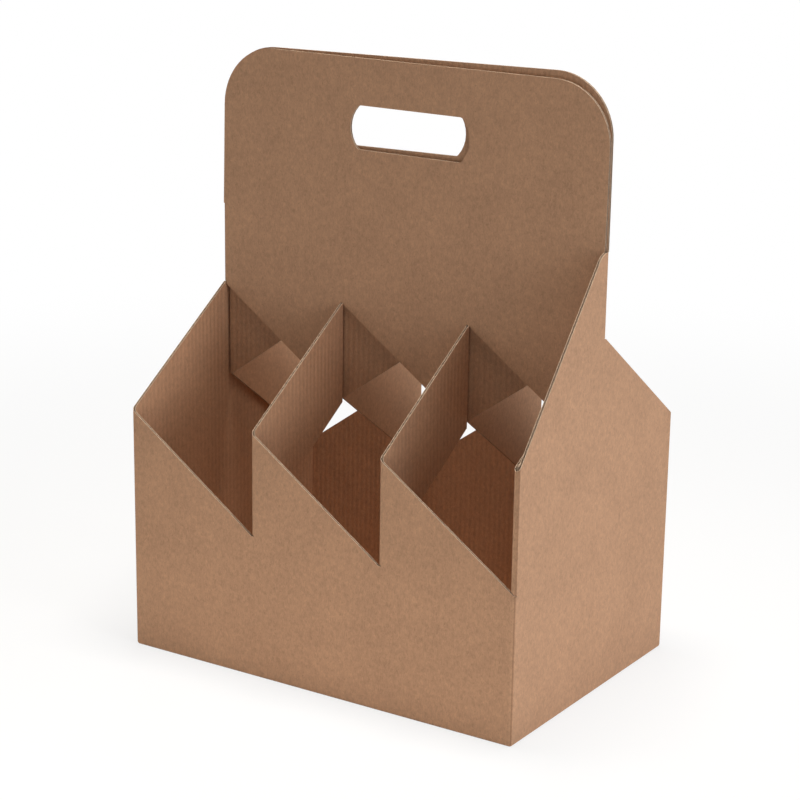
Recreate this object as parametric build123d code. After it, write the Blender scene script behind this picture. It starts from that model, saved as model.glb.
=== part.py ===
"""Six-bottle wine carrier, folded and glued from one die-cut sheet of kraft corrugated board.

Millimetres, +Z up. X runs along the length, -Y is the front and Z = 0 is the table.

The blank is one strip: left end, front wall, right end, rear wall and a glue tab. Above each long wall
the same sheet goes on as a handle panel, which three slanted straps tie back to the walls. All slanted
cuts are parallel in the flat blank, so nothing between them is waste.

Every crease above the floor is upright. A panel is therefore a flat plate and a crease a bent plate,
both followed in plan along the outer liner, with the board's thickness on the left of the heading.
The blank has half-turn symmetry, so one half is modelled and the other is that half turned about Z.
"""

import os
from math import atan2, radians, sin, tan

from build123d import *

# Overall sizes
LENGTH = 267.0
DEPTH = 184.0
HEIGHT = 360.0
CELLS = 3

# Board and creases
BOARD = 1.6
CREASE_INSIDE = 0.4

# Saw-tooth cuts; the knife leaves a nick where a cut ends on a crease
VALLEY_HEIGHT = 87.5
CUT_ANGLE = 35.0
CUT_NICK = 0.6

# End panels
SHOULDER_RISE = 8.5
HINGE_LENGTH = 49.5
PEAK_RUN = 5.5
STRAP_GAP = 0.4

# Handle panels; the hand hole sits a little off the middle, away from the hinge
HANDLE_GAP = 0.4
HANDLE_EDGE_INSET = 0.4
HANDLE_CORNER_RADIUS = 36.0
FRONT_SAG = 1.1
GRIP_WIDTH = 82.0
GRIP_HEIGHT = 26.0
GRIP_TOP_MARGIN = 27.5
GRIP_END_RADIUS = 17.5
GRIP_CORNER_RADIUS = 3.0
GRIP_OFFSET = 1.3

# Floor flaps and glue tab
FLAP_SIDE_CLEARANCE = 0.6
FLAP_MEETING_GAP = 0.8
END_FLAP_CLIMB = 10.0
END_FLAP_REACH = 84.0
END_FLAP_TAPER = 12.0
TAB_WIDTH = 30.0
TAB_MARGIN = 4.0

# Values that follow from the sizes above
HALF_LENGTH = LENGTH / 2
HALF_DEPTH = DEPTH / 2
CELL = LENGTH / CELLS
SLOPE = tan(radians(CUT_ANGLE))
CREASE = CREASE_INSIDE + BOARD
FOLD_BACK = BOARD + STRAP_GAP / 2

TOOTH_RISE = CELL * SLOPE
TOOTH_HEIGHT = VALLEY_HEIGHT + TOOTH_RISE
HANDLE_FACE = HANDLE_GAP / 2 + BOARD
STRAP_RUN = HALF_DEPTH - HANDLE_FACE
STEP_HEIGHT = TOOTH_HEIGHT + STRAP_RUN * SLOPE
PEAK_HEIGHT = STEP_HEIGHT + HINGE_LENGTH
HINGE_EDGE = HALF_DEPTH + HANDLE_FACE - CREASE
PEAK_EDGE = HINGE_EDGE - PEAK_RUN
SHOULDER_HEIGHT = TOOTH_HEIGHT + SHOULDER_RISE
STEEPNESS = atan2(PEAK_HEIGHT - SHOULDER_HEIGHT, PEAK_EDGE - CREASE + FOLD_BACK)
FOLD_TOP = SHOULDER_HEIGHT + FOLD_BACK * tan(STEEPNESS)
END_STRAP_X = HALF_LENGTH - 2 * BOARD - STRAP_GAP
HANDLE_FREE_X = HALF_LENGTH - BOARD - STRAP_GAP / 2

FRONT = (0, -1)
RIGHT = (1, 0)
REAR = (0, 1)
LEFT = (-1, 0)


def plate(start, heading, outline):
    """A flat panel that starts at a plan point and follows the heading; outline is (along, height)."""
    outward = (heading[1], -heading[0], 0)
    plane = Plane(origin=(*start, 0), x_dir=(*heading, 0), z_dir=outward)
    face = outline if isinstance(outline, Face) else make_face(Polyline(*outline, close=True))
    inward = tuple(-c for c in outward)
    return extrude(plane * face, amount=BOARD, dir=inward)


def ring_sector(inside, start, sweep):
    """The cross-section of a crease: a sector of a ring one board thick."""
    inner = CenterArc((0, 0), inside, start, sweep)
    outer = CenterArc((0, 0), inside + BOARD, start, sweep)
    return make_face([outer, Line(outer @ 1, inner @ 1), inner, Line(inner @ 0, outer @ 0)])


def keep_side(solid, first, second, keep):
    """Trim a bent plate by the slanted cut that runs from one plan point and height to the next."""
    run = Vector(second) - Vector(first)
    level = Vector(0, 0, 1).cross(run)
    return split(solid, bisect_by=Plane(origin=first, z_dir=run.cross(level)), keep=keep)


def bend(corner, heading, turn, low, high):
    """A square crease at a sharp plan corner; turn is 1 to the left or -1 to the right.

    low and high are (where the crease starts, where it ends), so a cut can slope across it.
    """
    left = (-heading[1], heading[0])
    radius = CREASE if turn > 0 else CREASE_INSIDE
    centre = [c - radius * h + turn * radius * s for c, h, s in zip(corner, heading, left)]
    facing = Vector(-turn * left[0], -turn * left[1], 0)
    start_angle = Vector(1, 0, 0).get_signed_angle(facing, Vector(0, 0, 1))
    bottom = min(low) - CREASE
    sector = ring_sector(CREASE_INSIDE, start_angle, turn * 90)
    solid = extrude(Pos(*centre, bottom) * sector, amount=max(high) + CREASE - bottom, dir=(0, 0, 1))
    first = [c - radius * h for c, h in zip(corner, heading)]
    second = [c + turn * radius * s for c, s in zip(corner, left)]
    solid = keep_side(solid, (*first, low[0]), (*second, low[1]), Keep.TOP)
    return keep_side(solid, (*first, high[0]), (*second, high[1]), Keep.BOTTOM)


def front_wall(last_crease):
    """The long wall with its saw-tooth rim; the teeth start after the crease of each strap."""
    rim = []
    for cell in range(CELLS):
        start = cell * CELL + CREASE
        if cell > 0:
            rim.append((start, VALLEY_HEIGHT))
        rim.append((start, TOOTH_HEIGHT - CREASE * SLOPE))
        if cell < CELLS - 1:
            rim.append(((cell + 1) * CELL, VALLEY_HEIGHT))
    end = LENGTH - last_crease
    rim.append((end, VALLEY_HEIGHT + last_crease * SLOPE))
    foot = [(end, CREASE), (CREASE, CREASE)]
    return plate((-HALF_LENGTH, -HALF_DEPTH), RIGHT, rim + foot)


def right_end(first_edge):
    """The end wall: a steep edge up to the rounded peak, then the step and the shallow cut."""
    outline = [
        (first_edge, CREASE),
        (first_edge, VALLEY_HEIGHT),
        (CREASE, VALLEY_HEIGHT),
        (CREASE, FOLD_TOP),
        (PEAK_EDGE, PEAK_HEIGHT),
        (HINGE_EDGE, PEAK_HEIGHT),
        (HINGE_EDGE, STEP_HEIGHT),
        (HINGE_EDGE + CREASE, STEP_HEIGHT),
        (DEPTH - CREASE, TOOTH_HEIGHT + CREASE * SLOPE),
        (DEPTH - CREASE, CREASE),
    ]
    face = make_face(Polyline(*dict.fromkeys(outline), close=True))
    peak = face.vertices().sort_by_distance((PEAK_EDGE, PEAK_HEIGHT))[0]
    rounding = (PEAK_RUN - BOARD / 4) / tan(STEEPNESS / 2)
    return plate((HALF_LENGTH, -HALF_DEPTH), REAR, fillet(peak, rounding).face())


def grip_hole():
    """The hand hole: straight above and below, with shallow round ends."""
    half_width = GRIP_WIDTH / 2
    bar = Rectangle(GRIP_WIDTH, GRIP_HEIGHT)
    shift = half_width - GRIP_END_RADIUS
    ends = [Pos(side * shift) * Circle(GRIP_END_RADIUS) for side in (-1, 1)]
    middle = Rectangle(2 * shift, GRIP_HEIGHT)
    hole = bar & (ends[0] + ends[1] + middle)
    return fillet(hole.vertices(), GRIP_CORNER_RADIUS)


def handle_panel(sag):
    """One handle panel, hinged on the end wall at its left; sag is how far its free end hangs, in degrees."""
    drop = tan(radians(sag))
    lean = sin(radians(sag))

    def hang(x, z):
        return x + HALF_LENGTH + max(0, z - PEAK_HEIGHT) * lean, z - (x + HALF_LENGTH) * drop

    hinge_x = -HALF_LENGTH + CREASE
    lower = []
    for cell in range(CELLS):
        left = -HALF_LENGTH + cell * CELL
        start = hinge_x if cell == 0 else left - CREASE_INSIDE
        end = (END_STRAP_X if cell == CELLS - 1 else left + CELL) - CREASE_INSIDE
        lower.append(hang(start, STEP_HEIGHT - (start - left) * SLOPE))
        lower.append(hang(end, STEP_HEIGHT - (end - left) * SLOPE))
    strap_top = STEP_HEIGHT - (END_STRAP_X - CREASE_INSIDE - HALF_LENGTH) * SLOPE
    free_edge = -HALF_LENGTH + HANDLE_EDGE_INSET
    upper = [
        hang(END_STRAP_X - CREASE_INSIDE, strap_top),
        hang(HANDLE_FREE_X, strap_top),
        hang(HANDLE_FREE_X, HEIGHT),
        hang(free_edge, HEIGHT),
        hang(free_edge, PEAK_HEIGHT),
        hang(hinge_x, PEAK_HEIGHT),
    ]
    face = make_face(Polyline(*lower, *upper, close=True))
    tops = [face.vertices().sort_by_distance(upper[i])[0] for i in (2, 3)]
    face = fillet(tops, HANDLE_CORNER_RADIUS)
    grip_centre = hang(GRIP_OFFSET, HEIGHT - GRIP_TOP_MARGIN - GRIP_HEIGHT / 2)
    face = face - Pos(*grip_centre) * Rot(0, 0, -sag) * grip_hole()
    return plate((-HALF_LENGTH, -HANDLE_FACE), RIGHT, face.face())


def handle_hinge():
    """The crease that joins the handle panel to the step edge of the end wall at its left."""
    low = STEP_HEIGHT + CUT_NICK
    return bend((-HALF_LENGTH, -HANDLE_FACE), FRONT, 1, (low, low), (PEAK_HEIGHT, PEAK_HEIGHT))


def strap_heights(x, sag):
    """Lower edge of a strap at the handle panel, and its fall for each millimetre towards the wall."""
    cell_start = -HALF_LENGTH + CELL * (round((x + HALF_LENGTH) / CELL) - 1)
    at_handle = STEP_HEIGHT - (x - cell_start) * SLOPE - (x + HALF_LENGTH) * tan(radians(sag))
    return at_handle, (at_handle - VALLEY_HEIGHT) / STRAP_RUN


def strap_plate(x, sag):
    """The flat part of a strap, from the crease on the handle panel down to the crease on the wall."""
    at_handle, fall = strap_heights(x, sag)
    first, last = CREASE_INSIDE, STRAP_RUN - CREASE
    lower = [(run, at_handle - run * fall) for run in (first, last)]
    upper = [(run, height + TOOTH_RISE) for run, height in reversed(lower)]
    if x == END_STRAP_X:
        upper[0] = (last, FOLD_TOP)
    return plate((x, -HANDLE_FACE), FRONT, lower + upper)


def handle_crease(x, sag):
    """The crease between the handle panel and a strap; it turns the other way from all the others."""
    at_handle, fall = strap_heights(x, sag)
    low = (at_handle + CREASE_INSIDE * SLOPE, at_handle - CREASE_INSIDE * fall)
    above = max(low) + TOOTH_RISE + BOARD
    solid = bend((x, -HANDLE_FACE), RIGHT, -1, low, (above, above))
    under_tooth = at_handle + TOOTH_RISE - CUT_NICK
    first = (x - CREASE_INSIDE, -HANDLE_FACE, under_tooth + CREASE_INSIDE * SLOPE)
    second = (x + BOARD, -HANDLE_FACE, under_tooth - BOARD * SLOPE)
    return keep_side(solid, first, second, Keep.BOTTOM)


def wall_crease(x, sag):
    """The crease between a strap and its tooth of the long wall."""
    fall = strap_heights(x, sag)[1]
    low = (VALLEY_HEIGHT + CREASE * fall + CUT_NICK, VALLEY_HEIGHT + CUT_NICK)
    high = (TOOTH_HEIGHT + CREASE * fall, TOOTH_HEIGHT - CREASE * SLOPE)
    return bend((x, -HALF_DEPTH), FRONT, 1, low, high)


def fold_back():
    """The edge where the end strap is folded flat against the inside of the end wall."""
    axis = Pos(HALF_LENGTH - FOLD_BACK, -HALF_DEPTH + CREASE)
    ridge = extrude(axis * ring_sector(STRAP_GAP / 2, 180, 180), amount=FOLD_TOP + BOARD, dir=(0, 0, 1))
    low = VALLEY_HEIGHT + CUT_NICK
    inner = (HALF_LENGTH - 2 * FOLD_BACK, 0, low + 2 * FOLD_BACK * SLOPE)
    ridge = keep_side(ridge, inner, (HALF_LENGTH, 0, low), Keep.TOP)
    shoulder = (0, -HALF_DEPTH + CREASE - FOLD_BACK, SHOULDER_HEIGHT)
    return keep_side(ridge, shoulder, (0, -HALF_DEPTH + CREASE, FOLD_TOP), Keep.BOTTOM)


def corner_foot(x, facing):
    """The pressed-in foot of an upright crease: the floor crease carried round the corner's own axis."""
    section = Plane.XZ * Pos(0, CREASE) * ring_sector(CREASE_INSIDE, 270, 90)
    quarter = revolve(section, axis=Axis.Z, revolution_arc=90)
    return Pos(x, -HALF_DEPTH + CREASE) * Rot(0, 0, facing) * quarter


def wall_corners(glued):
    """The upright creases at both ends of the long wall; the glued one carries the tab inside the end."""
    whole = bend(
        (-HALF_LENGTH, -HALF_DEPTH), FRONT, 1,
        (CREASE, CREASE),
        (TOOTH_HEIGHT + CREASE * SLOPE, TOOTH_HEIGHT - CREASE * SLOPE),
    )
    pieces = [whole, corner_foot(-HALF_LENGTH + CREASE, 180)]
    inset = BOARD if glued else 0
    corner = (HALF_LENGTH - inset, -HALF_DEPTH)
    low = CREASE + (TAB_MARGIN if glued else 0)
    top = VALLEY_HEIGHT - (TAB_MARGIN if glued else 0)
    high = (VALLEY_HEIGHT + (CREASE + inset) * SLOPE, top)
    pieces.append(bend(corner, RIGHT, 1, (low, low), high))
    if glued:
        reach = CREASE + TAB_WIDTH
        tab = [(CREASE, low), (reach, low + TAB_MARGIN), (reach, top - TAB_MARGIN), (CREASE, top)]
        pieces.append(plate(corner, REAR, tab))
    else:
        pieces.append(corner_foot(HALF_LENGTH - CREASE, -90))
    return pieces


def floor_crease(start, inward, length):
    """The crease under a wall's foot, from a plan point on its axis; its flap lies inward."""
    along = Vector(*inward, 0).cross(Vector(0, 0, 1))
    axis = Plane((*start, CREASE), x_dir=(*inward, 0), z_dir=along)
    return extrude(axis * ring_sector(CREASE_INSIDE, 180, 90), amount=length, dir=along)


def floor_flaps(glued):
    """Front floor flap on the table and right end flap, which climbs onto it and is glued there."""
    crease_y = -HALF_DEPTH + CREASE
    left = -HALF_LENGTH + CREASE
    right = HALF_LENGTH - CREASE - (BOARD if glued else 0)
    front_bend = floor_crease((left, crease_y), REAR, right - left)
    side = HALF_LENGTH - CREASE - END_FLAP_CLIMB - FLAP_SIDE_CLEARANCE
    reach = -crease_y - FLAP_MEETING_GAP / 2
    at_front = (Align.CENTER, Align.MIN, Align.MIN)
    front_flap = Pos(0, crease_y, 0) * Box(2 * side, reach, BOARD, align=at_front)

    crease_x = HALF_LENGTH - CREASE
    near_side = HALF_DEPTH - CREASE
    end_bend = floor_crease((crease_x, -near_side), LEFT, 2 * near_side)
    tip_x = HALF_LENGTH - END_FLAP_REACH
    half_side = -crease_y - FLAP_SIDE_CLEARANCE
    tip_side = half_side - END_FLAP_TAPER
    climbed_x = crease_x - END_FLAP_CLIMB
    under = [(crease_x, 0), (climbed_x, BOARD), (tip_x, BOARD)]
    over = [(x, z + BOARD) for x, z in reversed(under)]
    climb = extrude(Plane.XZ * make_face(Polyline(*under, *over, close=True)), amount=half_side, both=True)
    flap_plan = [(crease_x, -half_side), (crease_x, half_side), (tip_x, tip_side), (tip_x, -tip_side)]
    end_flap = climb & extrude(make_face(Polyline(*flap_plan, close=True)), amount=3 * BOARD, dir=(0, 0, 1))
    return [front_bend, front_flap, end_bend, end_flap]


def half_carrier(sag, glued):
    """Front wall, right end, front handle panel and what joins them."""
    pieces = [
        front_wall(CREASE + BOARD if glued else CREASE),
        right_end(0 if glued else CREASE),
        handle_panel(sag),
        handle_hinge(),
        fold_back(),
    ]
    inner_straps = [-HALF_LENGTH + cell * CELL for cell in range(1, CELLS)]
    for x in inner_straps + [END_STRAP_X]:
        pieces.append(handle_crease(x, sag))
        pieces.append(strap_plate(x, sag))
    pieces += [wall_crease(x, sag) for x in inner_straps]
    return pieces + wall_corners(glued) + floor_flaps(glued)


front_half = half_carrier(FRONT_SAG, glued=False)
rear_half = [Rot(0, 0, 180) * piece for piece in half_carrier(0, glued=True)]
carrier_board = Part() + front_half + rear_half

os.makedirs("parts", exist_ok=True)
export_step(carrier_board, "parts/carrier_board.step")
print(len(carrier_board.solids()), "solid,", round(carrier_board.volume / 1000, 1), "cm3")
print("box", carrier_board.bounding_box())
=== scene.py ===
"""Dress the six-bottle wine carrier as folded kraft corrugated board and set it up for its picture.

The carrier is one die-cut sheet. The board operator folds that sheet panel by panel as two paper
liners, the flute operator runs the wavy medium along every cut edge between them, and the stage
operator adds floor, lights and camera. Lengths are in metres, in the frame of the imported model.
"""

import math
from dataclasses import dataclass

import bmesh
import bpy
from bpy.props import FloatProperty, FloatVectorProperty, IntProperty, PointerProperty
from mathutils import Matrix, Vector
from mathutils.geometry import tessellate_polygon


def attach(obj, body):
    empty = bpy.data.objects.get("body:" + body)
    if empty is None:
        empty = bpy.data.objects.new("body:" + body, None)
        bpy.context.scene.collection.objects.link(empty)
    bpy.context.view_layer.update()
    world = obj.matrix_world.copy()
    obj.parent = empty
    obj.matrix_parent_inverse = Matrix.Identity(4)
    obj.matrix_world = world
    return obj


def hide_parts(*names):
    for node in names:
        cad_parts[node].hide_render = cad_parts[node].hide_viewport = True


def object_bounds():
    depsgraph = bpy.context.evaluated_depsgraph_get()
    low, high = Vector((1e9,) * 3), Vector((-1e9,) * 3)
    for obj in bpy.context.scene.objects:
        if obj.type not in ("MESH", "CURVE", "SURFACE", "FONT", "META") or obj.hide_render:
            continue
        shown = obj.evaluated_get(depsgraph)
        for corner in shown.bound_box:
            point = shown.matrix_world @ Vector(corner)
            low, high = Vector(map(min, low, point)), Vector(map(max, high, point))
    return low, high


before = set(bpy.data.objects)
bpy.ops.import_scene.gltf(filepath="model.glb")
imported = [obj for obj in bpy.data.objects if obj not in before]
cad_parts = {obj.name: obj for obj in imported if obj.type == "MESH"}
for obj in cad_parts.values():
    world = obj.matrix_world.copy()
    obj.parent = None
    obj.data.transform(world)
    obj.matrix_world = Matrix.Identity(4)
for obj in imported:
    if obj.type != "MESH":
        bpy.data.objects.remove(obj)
CAD_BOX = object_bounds()
CAD_SIZE = [high - low for low, high in zip(*CAD_BOX)]

bl_info = {
    "name": "Wine carrier in corrugated board",
    "version": (1, 0, 0),
    "blender": (4, 5, 0),
    "location": "View3D > Sidebar > Carrier",
    "description": "Folds the carrier's blank, flutes its cut edges and lights it",
    "category": "Object",
}

MM = 0.001
NODE = "carrier_board"
UP = Vector((0, 0, 1))
FLAT_MAP = "blank"
FOLD_LINE = "fold_line"

# Facets of the round cuts
PEAK_STEPS = 10
HANDLE_CORNER_STEPS = 16
GRIP_CORNER_STEPS = 5
GRIP_END_STEPS = 8

# A cut edge shows its flutes if more than this share of its run goes across them
CROSSING_SHARE = 0.2
# Pressed line of the flat fold, near the end wall, as a share of the way round
FLAT_FOLD_LINE = 0.85
# Points closer than this become one; edges that turn less are shaded smooth
WELD_DISTANCE = 0.004 * MM
RIBBON_WELD = 0.001 * MM
SMOOTH_TURN = math.radians(30)

# Sink of the paper between the flutes, and how far it swings the tone as painted shade in the sink and
# painted light on the crests; the inside shows it more
OUTER_RIB = (0.004 * MM, 0.0)
INNER_RIB = (0.07 * MM, 0.12)
# Torn clumps of fibre along a cut, coarser on the medium
CUT_GRAIN, MEDIUM_GRAIN = 1.2 * MM, 2.0 * MM

WHITE = (1, 1, 1, 1)
WARM_TINT, COOL_TINT = (1.03, 1.0, 0.95), (0.93, 1.0, 1.1)


def linear(hex_colour):
    """Turn an sRGB hex colour into the linear RGBA that shaders take."""
    channels = [int(hex_colour[i:i + 2], 16) / 255 for i in (0, 2, 4)]
    return tuple(c / 12.92 if c <= 0.04045 else ((c + 0.055) / 1.055) ** 2.4 for c in channels) + (1.0,)


def length(name, description, default):
    """A length property in metres."""
    return FloatProperty(name=name, description=description, default=default, unit="LENGTH", precision=5)


def colour(name, description, hex_colour):
    """A colour property, stored linear."""
    return FloatVectorProperty(
        name=name, description=description, default=linear(hex_colour),
        size=4, subtype="COLOR", min=0, max=1,
    )


def angle(name, description, degrees):
    """An angle property, stored in radians."""
    return FloatProperty(
        name=name, description=description, default=math.radians(degrees), unit="ROTATION"
    )


class CarrierSizes(bpy.types.PropertyGroup):
    """Sizes of the folded blank."""

    carrier_length: length("Length", "Outside length along X", CAD_SIZE[0])
    carrier_depth: length("Depth", "Outside depth along Y", CAD_SIZE[1])
    carrier_height: length("Height", "Top of the rear handle panel", CAD_SIZE[2])
    cells: IntProperty(name="Cells", description="Cells in a row", default=3, min=2)
    board: length("Board", "Thickness of the corrugated board", 1.6 * MM)
    liner: length("Liner", "Thickness of each paper liner", 0.3 * MM)
    crease_inside: length("Crease", "Inside radius of a crease", 0.4 * MM)
    valley_height: length("Valley", "Lowest point of the saw-tooth rim", 87.5 * MM)
    cut_angle: angle("Cut angle", "Slant of the saw-tooth cuts", 35)
    cut_nick: length("Nick", "Slit at the end of a cut", 0.6 * MM)
    shoulder_rise: length("Shoulder", "Start of the steep end edge above the tooth tips", 8.5 * MM)
    hinge_length: length("Hinge", "Crease between an end wall and its handle panel", 49.5 * MM)
    peak_run: length("Peak run", "Level run of the end wall's peak, before rounding", 5.5 * MM)
    strap_gap: length("Strap gap", "Gap between the end strap and its wall", 0.4 * MM)
    handle_gap: length("Handle gap", "Gap between the two handle panels", 0.4 * MM)
    handle_inset: length("Handle inset", "Free handle edge inside the end wall's face", 0.4 * MM)
    handle_radius: length("Handle corner", "Radius of the top corners", 36 * MM)
    front_sag: angle("Sag", "Droop of the front handle panel", 1.1)
    grip_width: length("Grip width", "Width of the hand hole", 82 * MM)
    grip_height: length("Grip height", "Height of the hand hole", 26 * MM)
    grip_margin: length("Grip margin", "Board above the hand hole", 27.5 * MM)
    grip_end_radius: length("Grip ends", "Radius of the hand hole's ends", 17.5 * MM)
    grip_corner_radius: length("Grip corners", "Rounding between the hole's sides and ends", 3 * MM)
    grip_offset: length("Grip offset", "Hand hole off the middle, away from the hinge", 1.3 * MM)
    flap_clearance: length("Flap clearance", "Floor flaps end this far off the corners", 0.6 * MM)
    flap_gap: length("Flap gap", "Gap where the floor flaps meet", 0.8 * MM)
    end_flap_reach: length("End flap", "How far an end flap reaches in", 84 * MM)
    end_flap_climb: length("Flap climb", "Run on which it climbs onto the long flaps", 10 * MM)
    end_flap_taper: length("Flap taper", "How much it narrows on each side", 12 * MM)
    tab_width: length("Glue tab", "Width of the glue tab", 30 * MM)
    tab_margin: length("Tab margin", "Trim above and below the glue tab", 4 * MM)
    crease_steps: IntProperty(name="Crease steps", description="Facets of a crease", default=10, min=2)


class FluteSizes(bpy.types.PropertyGroup):
    """The fluted medium that shows at the cut edges."""

    pitch: length("Pitch", "Flute to flute, as counted on the inside", 3.7 * MM)
    paper: length("Paper", "Thickness of the medium", 0.25 * MM)
    pit_depth: length("Pit depth", "How deep a cut edge shows between the liners", 1.5 * MM)
    samples: IntProperty(name="Samples", description="Points in one flute", default=8, min=4)


class CarrierColours(bpy.types.PropertyGroup):
    """Colours of the papers and of the set."""

    outer_liner: colour("Outer liner", "Kraft paper of the outside", "B68C6C")
    inner_liner: colour("Inner liner", "Kraft paper of the inside", "B08768")
    # Paler than the liner: partly fresh fibres, partly a painted highlight of the lit cut edge
    cut_paper: colour("Cut paper", "Fresh fibres along a cut", "D4BAA1")
    medium: colour("Medium", "Fluted paper between the liners", "A0866E")
    floor: colour("Floor", "Pale studio floor", "F4F3F1")


class Layout:
    """The sizes, and the places that follow from them, named as in the folded carrier."""

    def __init__(self, sizes):
        for name in sizes.__annotations__:
            setattr(self, name, getattr(sizes, name))
        self.half_length = sizes.carrier_length / 2
        self.half_depth = sizes.carrier_depth / 2
        self.cell = sizes.carrier_length / sizes.cells
        self.slope = math.tan(sizes.cut_angle)
        self.crease = sizes.crease_inside + sizes.board
        self.fold_back = sizes.board + sizes.strap_gap / 2
        self.nick_top = sizes.valley_height + sizes.cut_nick
        self.tooth_rise = self.cell * self.slope
        self.tooth = sizes.valley_height + self.tooth_rise
        self.handle_face = sizes.handle_gap / 2 + sizes.board
        self.strap_run = self.half_depth - self.handle_face
        self.step = self.tooth + self.strap_run * self.slope
        self.peak = self.step + sizes.hinge_length
        self.end_strap = self.half_length - 2 * sizes.board - sizes.strap_gap
        self.handle_free = self.half_length - sizes.board - sizes.strap_gap / 2
        self.hinge_edge = self.half_depth + self.handle_face - self.crease
        self.peak_edge = self.hinge_edge - sizes.peak_run
        self.shoulder = self.tooth + sizes.shoulder_rise
        steep_run = self.peak_edge - self.crease + self.fold_back
        self.steepness = math.atan2(self.peak - self.shoulder, steep_run)
        self.fold_top = self.shoulder + self.fold_back * math.tan(self.steepness)


class Patch:
    """Part of the blank: a runs along its outer liner, h up it, and depth goes into the board.

    place gives a point in space, normal the way into the board, flat_at the place in the flat sheet,
    and fold_at is 1 on a pressed line and 0 away from it.
    """

    def flat_at(self, a, h):
        return self.flat[0] + a, self.flat[1] + h

    def fold_at(self, a, h):
        return 0.0


@dataclass
class FlatPatch(Patch):
    """A flat panel, which has no pressed line."""

    origin: Vector
    along: Vector
    up: Vector
    inward: Vector
    flat: tuple

    def place(self, a, h, depth):
        return self.origin + self.along * a + self.up * h + self.inward * depth

    def normal(self, a, h):
        return self.inward


class BentPatch(Patch):
    """A crease: the sheet leaves its start point along travel and rolls about axis, left or right.

    line_at is where the pressed line of the fold lies, as a share of the way round.
    """

    def __init__(
        self, start, travel, axis, inward, inside, board, turn, flat,
        sweep=math.pi / 2, rolls_up=False, line_at=0.5,
    ):
        self.travel = travel
        self.inward = inward
        self.turn = turn
        self.outer_radius = inside + board if turn > 0 else inside
        self.middle_radius = inside + board / 2
        self.arc = self.middle_radius * sweep
        self.flat = flat
        self.rolls_up = rolls_up
        self.line_at = line_at
        self.up = axis
        self.centre = start + inward * (turn * self.outer_radius)

    def radial(self, run):
        """The way out from the crease's axis after a run of sheet."""
        turned = run / self.middle_radius
        return self.inward * (-self.turn * math.cos(turned)) + self.travel * math.sin(turned)

    def place(self, a, h, depth):
        run, level = (h, a) if self.rolls_up else (a, h)
        radius = self.outer_radius - self.turn * depth
        return self.centre + self.radial(run) * radius + self.up * level

    def normal(self, a, h):
        return self.radial(h if self.rolls_up else a) * -self.turn

    def fold_at(self, a, h):
        share = (h if self.rolls_up else a) / self.arc
        return share / self.line_at if share < self.line_at else (1 - share) / (1 - self.line_at)


@dataclass
class FootPatch(Patch):
    """The round foot of a corner crease; a turns about the upright, h rolls up from below, -1 to 0."""

    centre: Vector
    outward: Vector
    along: Vector
    radius: float
    flat: tuple

    def place(self, a, h, depth):
        turn, roll = a * math.pi / 2, -h * math.pi / 2
        level = self.outward * math.cos(turn) + self.along * math.sin(turn)
        return self.centre + (level * math.cos(roll) - UP * math.sin(roll)) * (self.radius - depth)

    def flat_at(self, a, h):
        return self.flat[0] + a * self.radius, self.flat[1] + h * self.radius

    def fold_at(self, a, h):
        return 1 - abs(2 * a - 1)


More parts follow.
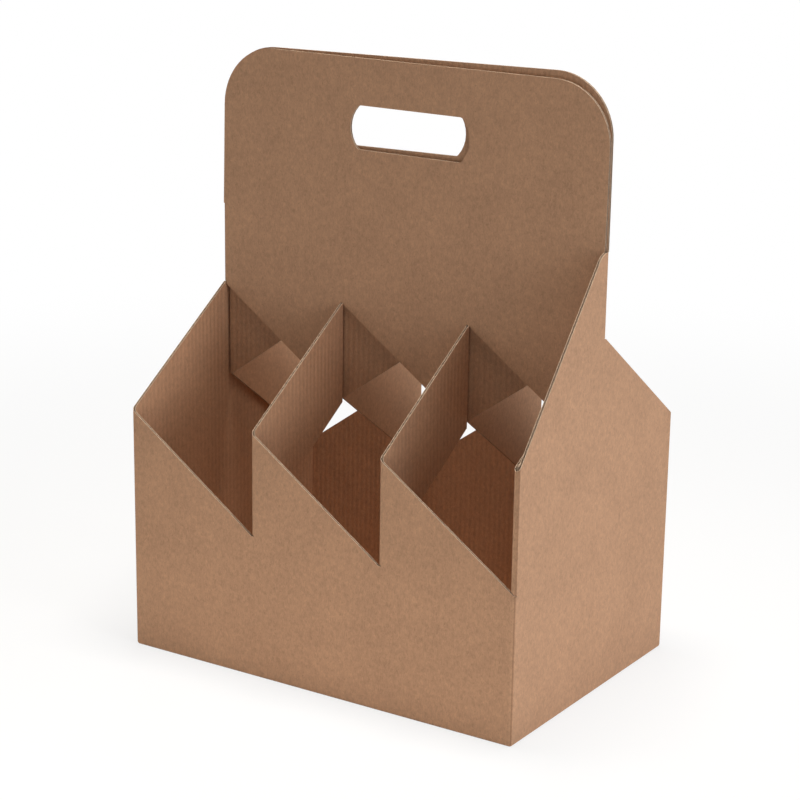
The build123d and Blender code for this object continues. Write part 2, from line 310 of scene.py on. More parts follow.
class FoldedSheet:
    """Gathers the liners' faces, the trim of the cut edges and the guide lines of the flutes."""

    OUTER, INNER, CUT, MEDIUM = range(4)

    def __init__(self, board, liner, pit_depth):
        self.board = board
        self.pit_depth = pit_depth
        self.depths = (0, liner, board - liner, board)
        self.points = []
        self.folds = []
        self.faces = []
        self.guides = []

    def add_face(self, patch, corners, slot, smooth=False):
        """Add one face; corners are (along, height, depth) on the patch."""
        first = len(self.points)
        self.points += [patch.place(*corner) for corner in corners]
        self.folds += [patch.fold_at(*corner[:2]) for corner in corners]
        flats = [patch.flat_at(*corner[:2]) for corner in corners]
        self.faces.append((range(first, len(self.points)), flats, slot, smooth))

    def add_liners(self, patch, polygon, smooth=False):
        """Add the four paper surfaces over one polygon of the patch, given anticlockwise."""
        slots = (self.OUTER, self.MEDIUM, self.MEDIUM, self.INNER)
        for side, (depth, slot) in enumerate(zip(self.depths, slots)):
            corners = [(a, h, depth) for a, h in polygon]
            if side % 2:
                corners.reverse()
            self.add_face(patch, corners, slot, smooth)

    def add_cut(self, patch, line, smooth=False):
        """Trim one cut edge, with the board on the left of the line, and note where its flutes run.

        The pit between the liners is kept shallow at short edges, where a deep one would stick out.
        """
        outside, under_outer, under_inner, inside = self.depths
        reach = sum(math.dist(start, end) for start, end in zip(line, line[1:]))
        pit_depth = min(self.pit_depth, reach / 2)
        for first, last in zip(line, line[1:]):
            for depths in ((outside, under_outer), (under_inner, inside)):
                self.add_band(patch, first, last, depths, self.CUT, smooth)
            (a0, h0), (a1, h1) = first, last
            run = math.hypot(a1 - a0, h1 - h0)
            da, dh = [pit_depth * d / run for d in (h0 - h1, a1 - a0)]
            pit = (a0 + da, h0 + dh), (a1 + da, h1 + dh)
            self.add_band(patch, *pit, (under_outer, under_inner), self.MEDIUM, smooth)
            if abs(a1 - a0) > CROSSING_SHARE * run:
                into = patch.up if a1 > a0 else -patch.up
                self.guides.append([self.guide_point(patch, a, h, into) for a, h in (first, last)])

    def add_band(self, patch, first, last, depths, slot, smooth):
        """Add a face between two depths, along one straight run."""
        near, far = depths
        corners = [(*first, near), (*first, far), (*last, far), (*last, near)]
        self.add_face(patch, corners, slot, smooth)

    def guide_point(self, patch, a, h, into):
        """What the flutes need at a point of a cut edge."""
        return patch.place(a, h, self.board / 2), patch.normal(a, h), into, patch.flat_at(a, h)[0]

    def add_panel(self, patch, outline, hole=()):
        """Add a flat panel; outline holds (along, height, cut), cut for the edge that leaves a point."""
        loop = [Vector((a, h, 0)) for a, h, _ in outline]
        inner = [Vector((a, h, 0)) for a, h in hole]
        corners = loop + inner
        for triangle in tessellate_polygon([loop, inner] if hole else [loop]):
            polygon = [tuple(corners[i][:2]) for i in triangle]
            self.add_liners(patch, anticlockwise(polygon))
        for (a0, h0, cut), (a1, h1, _) in zip(outline, outline[1:] + outline[:1]):
            if cut:
                self.add_cut(patch, [(a0, h0), (a1, h1)])
        if hole:
            self.add_cut(patch, hole + hole[:1])

    def add_bend(self, patch, columns, low_cut=True, high_cut=True):
        """Add a rolled strip as columns of points, low to high; its low and high edges may be cut."""
        for left, right in zip(columns, columns[1:]):
            for corners in zip(left, right, right[1:], left[1:]):
                self.add_liners(patch, anticlockwise(list(corners)), smooth=True)
        if low_cut:
            self.add_cut(patch, [column[0] for column in columns], smooth=True)
        if high_cut:
            self.add_cut(patch, [column[-1] for column in reversed(columns)], smooth=True)


def anticlockwise(polygon):
    """Turn a flat polygon so that it runs anticlockwise."""
    area = sum(a0 * h1 - a1 * h0 for (a0, h0), (a1, h1) in zip(polygon, polygon[1:] + polygon[:1]))
    return polygon if area > 0 else polygon[::-1]


def even_shares(steps):
    """Shares from 0 to 1 in even steps."""
    return [i / steps for i in range(steps + 1)]


def arc_points(centre, radius, start, sweep, steps):
    """Points of a flat arc, angles in radians."""
    angles = [start + sweep * share for share in even_shares(steps)]
    return [(centre[0] + radius * math.cos(t), centre[1] + radius * math.sin(t)) for t in angles]


class CarrierHalf:
    """One half of the folded carrier: a long wall, an end wall, a handle panel and what joins them."""

    def __init__(self, sheet, sizes, side, sag, glued):
        self.sheet = sheet
        self.at = Layout(sizes)
        self.side = side
        self.sag = sag
        self.glued = glued
        self.flat_start = 0 if side > 0 else sizes.carrier_length + sizes.carrier_depth

    def vector(self, x, y, z=0):
        """A vector of the front half, turned about Z for the rear one."""
        return Vector((self.side * x, self.side * y, z))

    def upright(self, x, y, heading, flat, outline, hole=()):
        """An upright panel that starts at a plan point of the outer liner and follows the heading."""
        along = self.vector(*heading)
        start = (self.flat_start + flat, 0)
        patch = FlatPatch(self.vector(x, y), along, UP, UP.cross(along), start)
        self.sheet.add_panel(patch, outline, hole)

    def crease(self, x, y, heading, turn, flat, low, high, low_cut=True):
        """A square upright crease at a sharp plan corner; low and high hold heights at start and end."""
        at = self.at
        radius = at.crease if turn > 0 else at.crease_inside
        along = self.vector(*heading)
        start = self.vector(x, y) - along * radius
        patch = BentPatch(
            start, along, UP, UP.cross(along), at.crease_inside, at.board, turn,
            (self.flat_start + flat, 0),
        )
        columns = []
        for share in even_shares(at.crease_steps):
            run = patch.arc * share
            bottom = low[0] + (low[1] - low[0]) * share
            top = high[0] + (high[1] - high[0]) * share
            columns.append(((run, bottom), (run, top)))
        self.sheet.add_bend(patch, columns, low_cut)

    def long_wall(self):
        """The long wall with its saw-tooth rim; a glued one stops inside the end wall."""
        at = self.at
        inset = at.board if self.glued else 0
        end = at.carrier_length - at.crease - inset
        valley = at.valley_height
        outline = [(at.crease, at.crease, False), (end, at.crease, False)]
        outline.append((end, valley + (at.crease + inset) * at.slope, True))
        for cell in reversed(range(at.cells)):
            start = cell * at.cell + at.crease
            outline.append((start, at.tooth - at.crease * at.slope, False))
            if cell:
                outline += [(start, at.nick_top, True), (start, valley, True)]
                outline.append((cell * at.cell, valley, True))
        self.upright(-at.half_length, -at.half_depth, (1, 0), 0, outline)

    def end_wall(self):
        """The end wall, from its steep edge over the rounded peak to the handle's hinge."""
        at = self.at
        far = at.carrier_depth - at.crease
        level = at.board / 4
        run = at.peak_run - level
        radius = run / math.tan(at.steepness / 2)
        centre = (at.peak_edge + run, at.peak - radius)
        outline = [
            (at.crease, at.crease, False),
            (far, at.crease, False),
            (far, at.tooth + at.crease * at.slope, True),
            (at.hinge_edge + at.crease, at.step, True),
            (at.hinge_edge, at.step, True),
            (at.hinge_edge, at.step + at.cut_nick, False),
            (at.hinge_edge, at.peak, True),
        ]
        peak = arc_points(centre, radius, math.pi / 2, at.steepness, PEAK_STEPS)
        outline += [(a, h, True) for a, h in peak]
        outline += [
            (at.crease, at.fold_top, False),
            (at.crease, at.nick_top, True),
            (at.crease, at.valley_height, self.glued),
        ]
        if self.glued:
            outline += [(0, at.valley_height, True), (0, at.crease, True)]
        self.upright(at.half_length, -at.half_depth, (0, 1), at.carrier_length, outline)

    def hang(self, x, z):
        """Where a point of the handle panel ends up once the panel sags about its hinge."""
        at = self.at
        lean = max(0, z - at.peak) * math.sin(self.sag)
        return x + at.half_length + lean, z - (x + at.half_length) * math.tan(self.sag)

    def handle_panel(self):
        """The handle panel, with its slanted cuts below and the hand hole above."""
        at = self.at
        hinge = -at.half_length + at.crease
        outline = []
        for cell in range(at.cells):
            left = -at.half_length + cell * at.cell
            start = left - at.crease_inside if cell else hinge
            end = (left + at.cell if cell < at.cells - 1 else at.end_strap) - at.crease_inside
            outline.append((start, at.step - (start - left) * at.slope, True))
            outline.append((end, at.step - (end - left) * at.slope, False))
        strap_top = at.step - (end - at.half_length) * at.slope
        outline += [(end, strap_top, True), (at.handle_free, strap_top, True)]
        free_edge = -at.half_length + at.handle_inset
        radius = at.handle_radius
        top = at.carrier_height - radius
        right, left = (at.handle_free - radius, top), (free_edge + radius, top)
        for centre, start in ((right, 0), (left, math.pi / 2)):
            corner = arc_points(centre, radius, start, math.pi / 2, HANDLE_CORNER_STEPS)
            outline += [(x, z, True) for x, z in corner]
        outline += [(free_edge, at.peak, True), (hinge, at.peak, False)]
        hung = [(*self.hang(x, z), cut) for x, z, cut in outline]
        self.upright(-at.half_length, -at.handle_face, (1, 0), -at.strap_run, hung, self.grip_hole())

    def grip_hole(self):
        """Outline of the hand hole, clockwise, so that the board lies on its left."""
        at = self.at
        middle = at.carrier_height - at.grip_margin - at.grip_height / 2
        large, small = at.grip_end_radius, at.grip_corner_radius
        reach = at.grip_width / 2 - large
        inner = large - small
        drop = at.grip_height / 2 - small
        run = math.sqrt(inner ** 2 - drop ** 2)
        spread = math.asin(drop / inner)
        turn = math.pi / 2 - spread
        outline = []
        for side, facing in ((1, 0), (-1, math.pi)):
            first = (side * (reach + run), middle + side * drop)
            last = (side * (reach + run), middle - side * drop)
            centre = (side * reach, middle)
            end = arc_points(centre, large, facing + spread, -2 * spread, GRIP_END_STEPS)
            outline += arc_points(first, small, facing + math.pi / 2, -turn, GRIP_CORNER_STEPS)
            outline += end[1:-1]
            outline += arc_points(last, small, facing - spread, -turn, GRIP_CORNER_STEPS)
        return [self.hang(x + at.grip_offset, z) for x, z in outline]

    def strap_fall(self, x):
        """Lower edge of a strap at the handle panel, and its fall towards the wall."""
        at = self.at
        cell_start = -at.half_length + at.cell * (round((x + at.half_length) / at.cell) - 1)
        low = at.step - (x - cell_start) * at.slope - (x + at.half_length) * math.tan(self.sag)
        return low, (low - self.at.valley_height) / at.strap_run

    def strap(self, x):
        """A slanted strap and its crease on the handle panel; the last one lies along the end wall."""
        at = self.at
        low, fall = self.strap_fall(x)
        flat = x + at.half_length - at.strap_run
        first, last = at.crease_inside, at.strap_run - at.crease
        start_low, end_low = low + first * at.slope, low - first * fall
        wall_low, wall_top = low - last * fall, low - last * fall + at.tooth_rise
        outline = [(first, end_low, True)]
        if x == at.end_strap:
            outline.append((last, wall_low, True))
            wall_low, wall_top = at.nick_top + 2 * at.fold_back * at.slope, at.fold_top
        outline += [
            (last, wall_low, False),
            (last, wall_top, True),
            (first, end_low + at.tooth_rise, False),
        ]
        self.upright(x, -at.handle_face, (0, -1), flat, outline)
        highs = [edge + at.tooth_rise - at.cut_nick for edge in (start_low, end_low)]
        self.crease(x, -at.handle_face, (1, 0), -1, flat - first, (start_low, end_low), highs)

    def wall_crease(self, x):
        """The crease between a divider strap and the long wall."""
        at = self.at
        fall = self.strap_fall(x)[1]
        low = (at.nick_top + at.crease * fall, at.nick_top)
        high = (at.tooth + at.crease * fall, at.tooth - at.crease * at.slope)
        self.crease(x, -at.half_depth, (0, -1), 1, x + at.half_length - at.crease, low, high)

    def fold_back(self):
        """The end strap turns flat against the inside of the end wall, between two slanted cuts."""
        at = self.at
        start = self.vector(at.end_strap, -at.half_depth + at.crease)
        flat = (self.flat_start + at.carrier_length - at.crease, 0)
        patch = BentPatch(
            start, self.vector(0, -1), UP, self.vector(1, 0), at.strap_gap / 2, at.board, 1, flat,
            sweep=math.pi, line_at=FLAT_FOLD_LINE,
        )
        columns = []
        for share in even_shares(2 * at.crease_steps):
            run, turned = patch.arc * share, math.pi * share
            low = at.nick_top + at.fold_back * (1 + math.cos(turned)) * at.slope
            high = at.fold_top - at.fold_back * math.sin(turned) * math.tan(at.steepness)
            columns.append(((run, low), (run, high)))
        self.sheet.add_bend(patch, columns)

    def foot(self, x, heading, flat):
        """The round foot that carries the floor creases past the end of a corner crease."""
        at, shares = self.at, even_shares(self.at.crease_steps)
        along = self.vector(*heading)
        centre = self.vector(x, -at.half_depth + at.crease, at.crease)
        start = (self.flat_start + flat, at.crease)
        patch = FootPatch(centre, along.cross(UP), along, at.crease, start)
        columns = [[(share, level - 1) for level in shares] for share in shares]
        self.sheet.add_bend(patch, columns, low_cut=False, high_cut=False)

    def corners(self):
        """Creases at both ends of the long wall, and the tab behind the glued one."""
        at = self.at
        rise = at.crease * at.slope
        low, high = (at.crease, at.crease), (at.tooth + rise, at.tooth - rise)
        self.crease(-at.half_length, -at.half_depth, (0, -1), 1, -at.crease, low, high, low_cut=False)
        self.foot(-at.half_length + at.crease, (0, -1), -at.crease)
        flat = at.carrier_length - at.crease
        if not self.glued:
            high = (at.valley_height + rise, at.valley_height)
            self.crease(at.half_length, -at.half_depth, (1, 0), 1, flat, low, high, low_cut=False)
            self.foot(at.half_length - at.crease, (1, 0), flat)
            return
        x = at.half_length - at.board
        bottom, top = at.crease + at.tab_margin, at.valley_height - at.tab_margin
        high = (at.valley_height + rise + at.board * at.slope, top)
        self.crease(x, -at.half_depth, (1, 0), 1, flat, (bottom, bottom), high)
        reach = at.crease + at.tab_width
        outline = [
            (at.crease, bottom, True),
            (reach, bottom + at.tab_margin, True),
            (reach, top - at.tab_margin, True),
            (at.crease, top, False),
        ]
        self.upright(x, -at.half_depth, (0, 1), at.carrier_length, outline)

    def floor_crease(self, root, along, outward, reach, flap_side, flat, cut_end):
        """The crease from a flap's root up to its wall; reach holds its left and right ends."""
        at = self.at
        left, right = reach
        patch = BentPatch(
            root, outward, along, UP, at.crease_inside, at.board, 1, flat, rolls_up=True
        )
        rows = [patch.arc * share for share in even_shares(at.crease_steps)]
        columns = [((left, row), (right, row)) for row in rows]
        self.sheet.add_bend(patch, columns, low_cut=False, high_cut=False)
        self.sheet.add_cut(patch, [(left, 0), (-flap_side, 0)])
        self.sheet.add_cut(patch, [(flap_side, 0), (right, 0)])
        if cut_end:
            end = [(cut_end, row) for row in rows]
            self.sheet.add_cut(patch, end if cut_end > 0 else end[::-1], smooth=True)

    def long_flap(self):
        """The floor flap of the long wall, which lies on the table."""
        at = self.at
        root = self.vector(0, -at.half_depth + at.crease)
        along, outward = self.vector(1, 0), self.vector(0, -1)
        flat = (self.flat_start + at.half_length, -at.crease)
        side = at.half_length - at.crease - at.end_flap_climb - at.flap_clearance
        depth = at.half_depth - at.crease - at.flap_gap / 2
        outline = [(-side, -depth, True), (side, -depth, True), (side, 0, False), (-side, 0, True)]
        self.sheet.add_panel(FlatPatch(root, along, outward, UP, flat), outline)
        left = -at.half_length + at.crease
        right = -left - (at.board if self.glued else 0)
        self.floor_crease(root, along, outward, (left, right), side, flat, right if self.glued else 0)

    def end_flap(self):
        """The floor flap of the end wall: it climbs onto the long flaps and is glued to them."""
        at = self.at
        root = self.vector(at.half_length - at.crease, 0)
        along, outward = self.vector(0, 1), self.vector(1, 0)
        flat = (self.flat_start + at.carrier_length + at.half_depth, -at.crease)
        reach = at.half_depth - at.crease
        side = reach - at.flap_clearance
        depth = at.end_flap_reach - at.crease
        climb = at.end_flap_climb
        climbed = side - at.end_flap_taper * climb / depth
        tip = side - at.end_flap_taper
        slope = outward - UP * (at.board / climb)
        start, end = (-climbed, -climb), (climbed, -climb)
        climbing = [(*start, False), (*end, True), (side, 0, False), (-side, 0, True)]
        self.sheet.add_panel(FlatPatch(root, along, slope, UP, flat), climbing)
        lying = [(-tip, -depth, True), (tip, -depth, True), (*end, False), (*start, True)]
        self.sheet.add_panel(FlatPatch(root + UP * at.board, along, outward, UP, flat), lying)
        self.floor_crease(root, along, outward, (-reach, reach), side, flat, -reach if self.glued else 0)

    def fold(self):
        """Fold the half, panel by panel."""
        at = self.at
        self.long_wall()
        self.end_wall()
        self.handle_panel()
        low = at.step + at.cut_nick
        hinge_flat = -at.strap_run - at.crease
        heights = (low, low), (at.peak, at.peak)
        self.crease(-at.half_length, -at.handle_face, (0, -1), 1, hinge_flat, *heights)
        inner = [-at.half_length + cell * at.cell for cell in range(1, at.cells)]
        for x in inner + [at.end_strap]:
            self.strap(x)
        for x in inner:
            self.wall_crease(x)
        self.fold_back()
        self.corners()
        self.long_flap()
        self.end_flap()


def fold_carrier(sizes, flutes):
    """Fold both halves of the blank; the rear half is the front one turned about Z."""
    sheet = FoldedSheet(sizes.board, sizes.liner, flutes.pit_depth)
    CarrierHalf(sheet, sizes, 1, sizes.front_sag, glued=False).fold()
    CarrierHalf(sheet, sizes, -1, 0, glued=True).fold()
    return sheet


def node(tree, kind, inputs=(), **settings):
    """Add a node, set its own settings, then give each input its value or link."""
    made = tree.nodes.new(kind)
    for name, value in settings.items():
        setattr(made, name, value)
    for socket, value in dict(inputs).items():
        if isinstance(value, bpy.types.NodeSocket):
            tree.links.new(value, made.inputs[socket])
        else:
            made.inputs[socket].default_value = value
    return made


def empty_tree(owner):
    """Give a material or a world its node tree, emptied."""
    owner.use_nodes = True
    owner.node_tree.nodes.clear()
    return owner.node_tree


def new_material(name):
    """A material and its empty tree."""
    material = bpy.data.materials.new(name)
    return material, empty_tree(material)


def calc(tree, operation, *values):
    """The result of a math node."""
    return node(tree, "ShaderNodeMath", dict(enumerate(values)), operation=operation).outputs[0]


def remap(tree, value, low, high, first, last, **settings):
    """Map low to high onto first to last."""
    return node(tree, "ShaderNodeMapRange", {
        "Value": value, "From Min": low, "From Max": high, "To Min": first, "To Max": last,
    }, **settings).outputs[0]


def noise(tree, place, size, detail, roughness, distortion=0.0):
    """Noise whose largest clumps are about one size across."""
    return node(tree, "ShaderNodeTexNoise", {
        "Vector": place, "Scale": 1 / size,
        "Detail": detail, "Roughness": roughness, "Distortion": distortion,
    }).outputs["Fac"]


def mix(tree, share, first, second, **settings):
    """Blend two colours by a share of the second."""
    inputs = {0: share, 6: first, 7: second}
    return node(tree, "ShaderNodeMix", inputs, data_type="RGBA", **settings).outputs[2]


def shaded(base, share):
    """The base colour times a share."""
    return tuple(min(1.0, share * c) for c in base[:3]) + (1.0,)


def paper_surface(tree, paint, roughness, bump, gloss):
    """Finish a paper material."""
    shader = node(tree, "ShaderNodeBsdfPrincipled", {
        "Base Color": paint, "Roughness": roughness, "Normal": bump.outputs[0],
        "IOR": 1.45, "Specular IOR Level": gloss,
    })
    node(tree, "ShaderNodeOutputMaterial", {"Surface": shader.outputs[0]})


def kraft_paper(name, base, rib_depth, rib_shade, flutes):
    """Unbleached kraft liner, machine made: matt brown paper with short fibres pressed flat.

    The eye sees an even brown, then a fine grain of paler and darker fibres, a few dark flecks, upright
    bars where the paper has sunk between its flutes, sunk by the bump and on the inside given painted
    shade between the flutes and painted light on their crests, and a pressed groove in each fold,
    sunk by the bump and darkened with painted shade.
    """
    material, tree = new_material(name)
    place = node(tree, "ShaderNodeTexCoord").outputs["Object"]
    flat = node(tree, "ShaderNodeUVMap", uv_map=FLAT_MAP).outputs["UV"]

    # Real fibres are about 0.03 mm wide; clumps of them are drawn, because single ones would not show
    formation, clump, fibre_width, fleck_size = 30 * MM, 3.2 * MM, 1.1 * MM, 1.3 * MM
    fibre_stretch = (1.0, 0.45, 1.0)
    cloud = noise(tree, place, formation, detail=2, roughness=0.5)
    mottle = noise(tree, place, clump, detail=3, roughness=0.6)
    drawn = node(tree, "ShaderNodeMapping", {"Vector": flat, "Scale": fibre_stretch})
    fibre = noise(tree, drawn.outputs[0], fibre_width, detail=2, roughness=0.6, distortion=1.2)
    fleck = noise(tree, place, fleck_size, detail=1, roughness=0.5)
    across = node(tree, "ShaderNodeSeparateXYZ", {0: flat}).outputs["X"]
    ribs = calc(tree, "COSINE", calc(tree, "MULTIPLY", across, math.tau / flutes.pitch))

    # The tone is 0 in the darkest paper, 1 in the palest; each pattern swings it about the middle.
    # Noise mostly lies between 0.3 and 0.7, and only its rare peaks become flecks
    cloud_swing, mottle_swing, fibre_swing, fleck_drop = 0.10, 0.20, 0.42, 0.5
    dark_share, pale_share = 0.80, 1.20
    # The tone starts with painted shade between the flutes and painted light on their crests
    tone = calc(tree, "MULTIPLY_ADD", ribs, rib_shade, 0.5)
    for pattern, low, high, swing in (
        (cloud, 0.3, 0.7, cloud_swing),
        (mottle, 0.3, 0.7, mottle_swing),
        (fibre, 0.25, 0.75, fibre_swing),
    ):
        tone = calc(tree, "ADD", tone, remap(tree, pattern, low, high, -swing, swing))
    tone = calc(tree, "ADD", tone, remap(tree, fleck, 0.68, 0.78, 0.0, -fleck_drop))
    paper = mix(tree, tone, shaded(base, dark_share), shaded(base, pale_share))

    # Painted shade of the groove in each fold: the pressed line starts part of the way from the flat
    # panel and is darkest on the fold
    line_start = 0.45
    crease_shade_tint = (0.64, 0.60, 0.56, 1.0)
    fold = node(tree, "ShaderNodeAttribute", attribute_name=FOLD_LINE).outputs["Fac"]
    pressed = remap(tree, fold, line_start, 1.0, 0.0, 1.0, interpolation_type="SMOOTHSTEP")
    # Multiply the paper darker along the pressed line: painted shade of the groove
    paper = mix(tree, pressed, paper, crease_shade_tint, blend_type="MULTIPLY")

    fibre_relief, line_relief = 0.02 * MM, 0.06 * MM
    waves = calc(tree, "MULTIPLY", ribs, rib_depth)
    relief = calc(tree, "MULTIPLY_ADD", fibre, fibre_relief, waves)
    relief = calc(tree, "MULTIPLY_ADD", pressed, -line_relief, relief)
    bump = node(tree, "ShaderNodeBump", {"Strength": 1.0, "Distance": 1.0, "Height": relief})
    smoothest, roughest = 0.72, 0.86
    rough = remap(tree, fibre, 0.3, 0.7, smoothest, roughest)
    paper_surface(tree, paper, rough, bump, gloss=0.3)
    return material


def cut_kraft(name, base, grain_size):
    """Kraft paper seen end-on: torn fibres, broken up along the cut; the cut edge's base is paler than
    the liner, partly fresh fibres and partly a painted highlight of the lit edge.
    """
    material, tree = new_material(name)
    dark_share, relief = 0.72, 0.1 * MM
    place = node(tree, "ShaderNodeTexCoord").outputs["Object"]
    torn = noise(tree, place, grain_size, detail=3, roughness=0.6)
    share = remap(tree, torn, 0.3, 0.6, 0.0, 1.0)
    paper = mix(tree, share, shaded(base, dark_share), tuple(base))
    bump = node(tree, "ShaderNodeBump", {"Strength": 0.4, "Distance": relief, "Height": torn})
    paper_surface(tree, paper, 0.9, bump, gloss=0.2)
    return material


def new_object(name, data):
    """Put a mesh, lamp or camera into the scene."""
    made = bpy.data.objects.new(name, data)
    bpy.context.scene.collection.objects.link(made)
    return made


class CARRIER_OT_board(bpy.types.Operator):
    """Fold the blank as two paper liners with trimmed edges"""

    bl_idname = "carrier.board"
    bl_label = "Fold the board"

    def execute(self, context):
        scene = context.scene
        colours, flutes = scene.carrier_colours, scene.carrier_flutes
        sheet = fold_carrier(scene.carrier_sizes, flutes)
        mesh = bpy.data.meshes.new("folded_board")
        mesh.from_pydata(sheet.points, [], [list(corners) for corners, *_ in sheet.faces])
        fold = mesh.attributes.new(FOLD_LINE, "FLOAT", "POINT")
        fold.data.foreach_set("value", sheet.folds)
        layer = mesh.uv_layers.new(name=FLAT_MAP)
        for polygon, (_, flats, slot, smooth) in zip(mesh.polygons, sheet.faces):
            polygon.material_index = slot
            polygon.use_smooth = smooth
            for loop, place in zip(polygon.loop_indices, flats):
                layer.data[loop].uv = place
        for material in (
            kraft_paper("kraft_liner_outside", colours.outer_liner, *OUTER_RIB, flutes),
            kraft_paper("kraft_liner_inside", colours.inner_liner, *INNER_RIB, flutes),
            # The cut edge's paler colour is partly a painted highlight
            cut_kraft("kraft_cut_edge", colours.cut_paper, CUT_GRAIN),
            cut_kraft("kraft_fluting", colours.medium, MEDIUM_GRAIN),
        ):
            mesh.materials.append(material)
        board = new_object("folded_board", mesh)
        weld_smooth_faces(mesh)
        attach(board, "root")
        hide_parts(NODE)
        return {"FINISHED"}


def weld_smooth_faces(mesh):
    """Join faces that meet, so that creases shade as one rolled surface, and keep cut edges sharp."""
    made = bmesh.new()
    made.from_mesh(mesh)
    bmesh.ops.remove_doubles(made, verts=made.verts, dist=WELD_DISTANCE)
    for edge in made.edges:
        turn = edge.calc_face_angle(math.pi) if len(edge.link_faces) == 2 else math.pi
        edge.smooth = turn < SMOOTH_TURN
    made.to_mesh(mesh)
    made.free()


class CARRIER_OT_flutes(bpy.types.Operator):
    """Run the wavy medium along every cut edge that crosses the flutes"""

    bl_idname = "carrier.flutes"
    bl_label = "Flute the cut edges"

    def execute(self, context):
        scene = context.scene
        sizes, flutes = scene.carrier_sizes, scene.carrier_flutes
        holder = new_object("flute_guides", guide_mesh(fold_carrier(sizes, flutes).guides))
        modifier = holder.modifiers.new("fluted_medium", "NODES")
        modifier.node_group = flute_tree()
        values = {
            "Pitch": flutes.pitch,
            "Flute Height": sizes.board - 2 * sizes.liner - flutes.paper,
            "Paper": flutes.paper,
            "Depth": flutes.pit_depth,
            "Step": flutes.pitch / flutes.samples,
            "Material": bpy.data.materials["kraft_fluting"],
        }
        for item in modifier.node_group.interface.items_tree:
            if item.name in values:
                modifier[item.identifier] = values[item.name]
        context.view_layer.update()
        evaluated = holder.evaluated_get(context.evaluated_depsgraph_get())
        mesh = bpy.data.meshes.new_from_object(evaluated)
        mesh.name = "edge_fluting"
        bpy.data.objects.remove(holder)
        medium = new_object("edge_fluting", mesh)
        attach(medium, "root")
        return {"FINISHED"}


def guide_mesh(guides):
    """Lines along the middle of the cut edges, with the directions that the flutes need."""
    points = [point for guide in guides for point in guide]
    edges = [(i, i + 1) for i in range(0, len(points), 2)]
    mesh = bpy.data.meshes.new("flute_guides")
    mesh.from_pydata([position for position, *_ in points], edges, [])
    across = mesh.attributes.new("flat_across", "FLOAT", "POINT")
    normal = mesh.attributes.new("board_normal", "FLOAT_VECTOR", "POINT")
    into = mesh.attributes.new("into_board", "FLOAT_VECTOR", "POINT")
    for i, (_, board_normal, into_board, flat) in enumerate(points):
        across.data[i].value = flat
        normal.data[i].vector = board_normal
        into.data[i].vector = into_board
    return mesh


def shape(tree, kind, inputs, **settings):
    """The first result of a geometry node."""
    return node(tree, "GeometryNode" + kind, inputs, **settings).outputs[0]


def flute_tree():
    """Geometry Nodes: wave each guide line across the board, then sink it in as a ribbon."""
    tree = bpy.data.node_groups.new("Fluted medium", "GeometryNodeTree")
    face = tree.interface
    face.new_socket("Geometry", in_out="INPUT", socket_type="NodeSocketGeometry")
    for name in ("Pitch", "Flute Height", "Paper", "Depth", "Step"):
        face.new_socket(name, in_out="INPUT", socket_type="NodeSocketFloat")
    face.new_socket("Material", in_out="INPUT", socket_type="NodeSocketMaterial")
    face.new_socket("Geometry", in_out="OUTPUT", socket_type="NodeSocketGeometry")
    given = node(tree, "NodeGroupInput").outputs

    line = shape(tree, "MeshToCurve", {"Mesh": given["Geometry"]})
    fine = shape(tree, "ResampleCurve", {"Curve": line, "Length": given["Step"]}, mode="LENGTH")
    edge = shape(tree, "CurveToMesh", {"Curve": fine})

    across = shape(tree, "InputNamedAttribute", {"Name": "flat_across"}, data_type="FLOAT")
    normal = shape(tree, "InputNamedAttribute", {"Name": "board_normal"}, data_type="FLOAT_VECTOR")
    into = shape(tree, "InputNamedAttribute", {"Name": "into_board"}, data_type="FLOAT_VECTOR")
    turns = calc(tree, "DIVIDE", across, given["Pitch"])
    wave = calc(tree, "COSINE", calc(tree, "MULTIPLY", turns, math.tau))
    swing = calc(tree, "MULTIPLY", wave, calc(tree, "MULTIPLY", given["Flute Height"], 0.5))
    offset = node(tree, "ShaderNodeVectorMath", {0: normal, "Scale": swing}, operation="SCALE")
    waved = shape(tree, "SetPosition", {"Geometry": edge, "Offset": offset.outputs[0]})
    ribbon = shape(tree, "ExtrudeMesh", {
        "Mesh": waved, "Offset": into, "Offset Scale": given["Depth"],
    }, mode="EDGES")
    sheet = shape(tree, "ExtrudeMesh", {
        "Mesh": ribbon, "Offset Scale": given["Paper"], "Individual": False,
    }, mode="FACES")
    back = shape(tree, "FlipFaces", {"Mesh": ribbon})
    both = node(tree, "GeometryNodeJoinGeometry")
    for part in (sheet, back):
        tree.links.new(part, both.inputs[0])
    closed = shape(tree, "MergeByDistance", {"Geometry": both.outputs[0], "Distance": RIBBON_WELD})
    finished = shape(tree, "SetMaterial", {"Geometry": closed, "Material": given["Material"]})
    node(tree, "NodeGroupOutput", {"Geometry": finished})
    return tree


def area_light(name, position, target, size, power, tint=WHITE[:3]):
    """A soft box that faces its target; lengths in metres, power in watts."""
    lamp = bpy.data.lights.new(name, "AREA")
    lamp.shape = "RECTANGLE"
    lamp.size, lamp.size_y = size
    lamp.energy = power
    lamp.color = tint
    made = new_object(name, lamp)
    made.location = position
    made.rotation_euler = (Vector(target) - Vector(position)).to_track_quat("-Z", "Y").to_euler()


def seen_ray(tree):
    """1 for rays that show the set to the eye, also by reflection, and 0 for those that light it."""
    path = node(tree, "ShaderNodeLightPath").outputs
    seen = calc(tree, "MAXIMUM", path["Is Camera Ray"], path["Is Glossy Ray"])
    return calc(tree, "MAXIMUM", seen, path["Is Transmission Ray"])


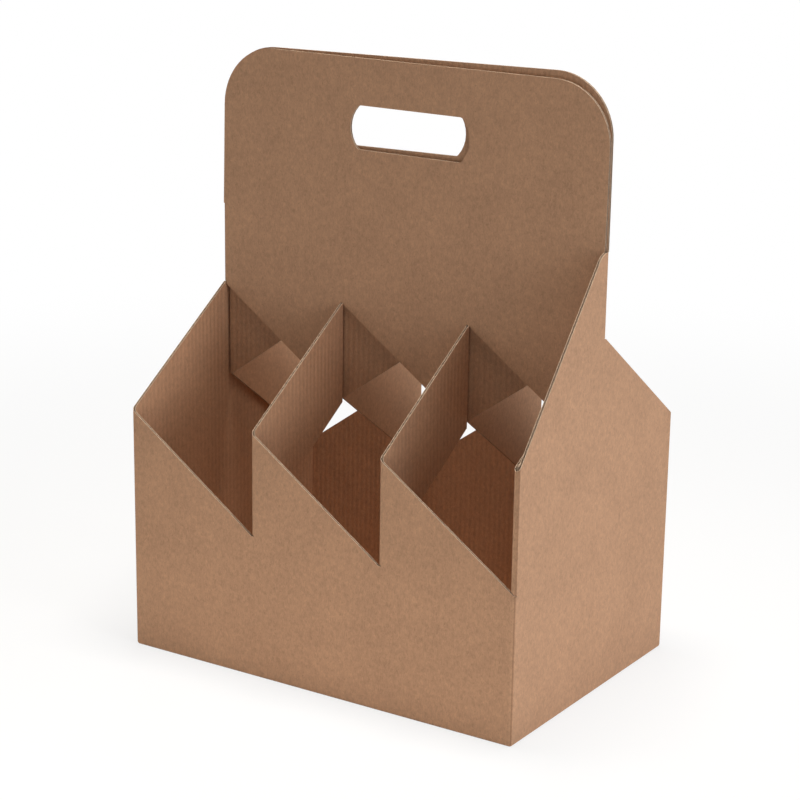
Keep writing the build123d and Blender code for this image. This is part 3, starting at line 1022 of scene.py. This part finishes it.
class CARRIER_OT_stage(bpy.types.Operator):
    """Set the pale floor, the soft boxes and the camera"""

    bl_idname = "carrier.stage"
    bl_label = "Set the stage"

    def execute(self, context):
        scene = context.scene
        scene.view_settings.view_transform = "Standard"
        self.floor(scene)
        self.world(scene)
        middle = (0, 0, 0.12)
        area_light("top_soft_box", (0.05, 0, 1.1), (0.05, 0, 0), (0.5, 0.35), 11.4, WARM_TINT)
        area_light("right_soft_box", (1.4, -0.1, 0.4), middle, (1.0, 0.8), 11, COOL_TINT)
        area_light("front_soft_box", (0.06, -0.38, 0.05), (0.06, 0, 0.06), (0.6, 0.08), 0.28)
        area_light("back_soft_box", (-0.9, 1.2, 0.5), middle, (0.8, 0.6), 4)
        area_light("left_soft_box", (-1.3, -0.5, 0.35), middle, (0.8, 0.6), 2.8)
        self.camera(scene)
        return {"FINISHED"}

    def floor(self, scene):
        """A matt floor, mixed with white for the eye: partly near the carrier, wholly far from it."""
        half = 6.0
        near, far, near_share = 0.25, 1.1, 0.78
        corners = [(-half, -half, 0), (half, -half, 0), (half, half, 0), (-half, half, 0)]
        mesh = bpy.data.meshes.new("studio_floor")
        mesh.from_pydata(corners, [], [(0, 1, 2, 3)])
        material, tree = new_material("matt_floor_paint")
        paint = node(tree, "ShaderNodeBsdfPrincipled", {
            "Base Color": tuple(scene.carrier_colours.floor),
            "Roughness": 0.9, "Specular IOR Level": 0.1,
        })
        white = node(tree, "ShaderNodeEmission", {"Color": WHITE, "Strength": 1.0})
        place = node(tree, "ShaderNodeTexCoord").outputs["Object"]
        away = node(tree, "ShaderNodeVectorMath", {0: place}, operation="LENGTH").outputs["Value"]
        plain = remap(tree, away, near, far, near_share, 1.0, interpolation_type="SMOOTHSTEP")
        share = calc(tree, "MULTIPLY", seen_ray(tree), plain)
        floor = node(tree, "ShaderNodeMixShader", {0: share, 1: paint.outputs[0], 2: white.outputs[0]})
        node(tree, "ShaderNodeOutputMaterial", {"Surface": floor.outputs[0]})
        mesh.materials.append(material)
        new_object("studio_floor", mesh)

    def world(self, scene):
        """Dim even light on the object, and plain white behind it for the eye."""
        world = bpy.data.worlds.new("studio")
        tree = empty_tree(world)
        room = node(tree, "ShaderNodeBackground", {"Color": WHITE, "Strength": 0.02})
        white = node(tree, "ShaderNodeBackground", {"Color": WHITE, "Strength": 1.0})
        mixed = node(tree, "ShaderNodeMixShader", {
            0: seen_ray(tree), 1: room.outputs[0], 2: white.outputs[0],
        })
        node(tree, "ShaderNodeOutputWorld", {"Surface": mixed.outputs[0]})
        scene.world = world

    def camera(self, scene):
        """A long lens from the front right, a little above the teeth, rolled as the picture is."""
        azimuth, elevation, roll = (math.radians(a) for a in (32.99, 15.05, 0.86))
        distance, height, aside = 1.2487, 0.1568, -0.0018
        level = Vector((math.cos(azimuth), math.sin(azimuth), 0))
        back = level.cross(UP) * math.cos(elevation) + UP * math.sin(elevation)
        aim = level * aside + UP * height
        rise = back.cross(level)
        right = level * math.cos(roll) + rise * math.sin(roll)
        data = bpy.data.cameras.new("picture_camera")
        data.lens = 93.8
        data.sensor_width = 36
        made = new_object("picture_camera", data)
        turn = Matrix((right, back.cross(right), back)).transposed()
        made.matrix_world = Matrix.Translation(aim + back * distance) @ turn.to_4x4()
        scene.camera = made


GROUPS = {
    "carrier_sizes": CarrierSizes,
    "carrier_flutes": FluteSizes,
    "carrier_colours": CarrierColours,
}
OPERATORS = (CARRIER_OT_board, CARRIER_OT_flutes, CARRIER_OT_stage)


class CARRIER_PT_sidebar(bpy.types.Panel):
    """Sizes, colours and steps of the carrier"""

    bl_idname = "CARRIER_PT_sidebar"
    bl_label = "Wine carrier"
    bl_space_type = "VIEW_3D"
    bl_region_type = "UI"
    bl_category = "Carrier"

    def draw(self, context):
        for name in GROUPS:
            group = getattr(context.scene, name)
            column = self.layout.column(align=True)
            for size in group.__annotations__:
                column.prop(group, size)
        for operator in OPERATORS:
            self.layout.operator(operator.bl_idname)


CLASSES = (*GROUPS.values(), *OPERATORS, CARRIER_PT_sidebar)


def register():
    """Register the classes and give the scene its sizes and colours."""
    for cls in CLASSES:
        bpy.utils.register_class(cls)
    for name, group in GROUPS.items():
        setattr(bpy.types.Scene, name, PointerProperty(type=group))


def unregister():
    """Take back what register gave."""
    for name in GROUPS:
        delattr(bpy.types.Scene, name)
    for cls in reversed(CLASSES):
        bpy.utils.unregister_class(cls)


def main():
    """Build the carrier and its stage."""
    register()
    bpy.ops.carrier.board()
    bpy.ops.carrier.flutes()
    bpy.ops.carrier.stage()


if __name__ == "__main__":
    main()
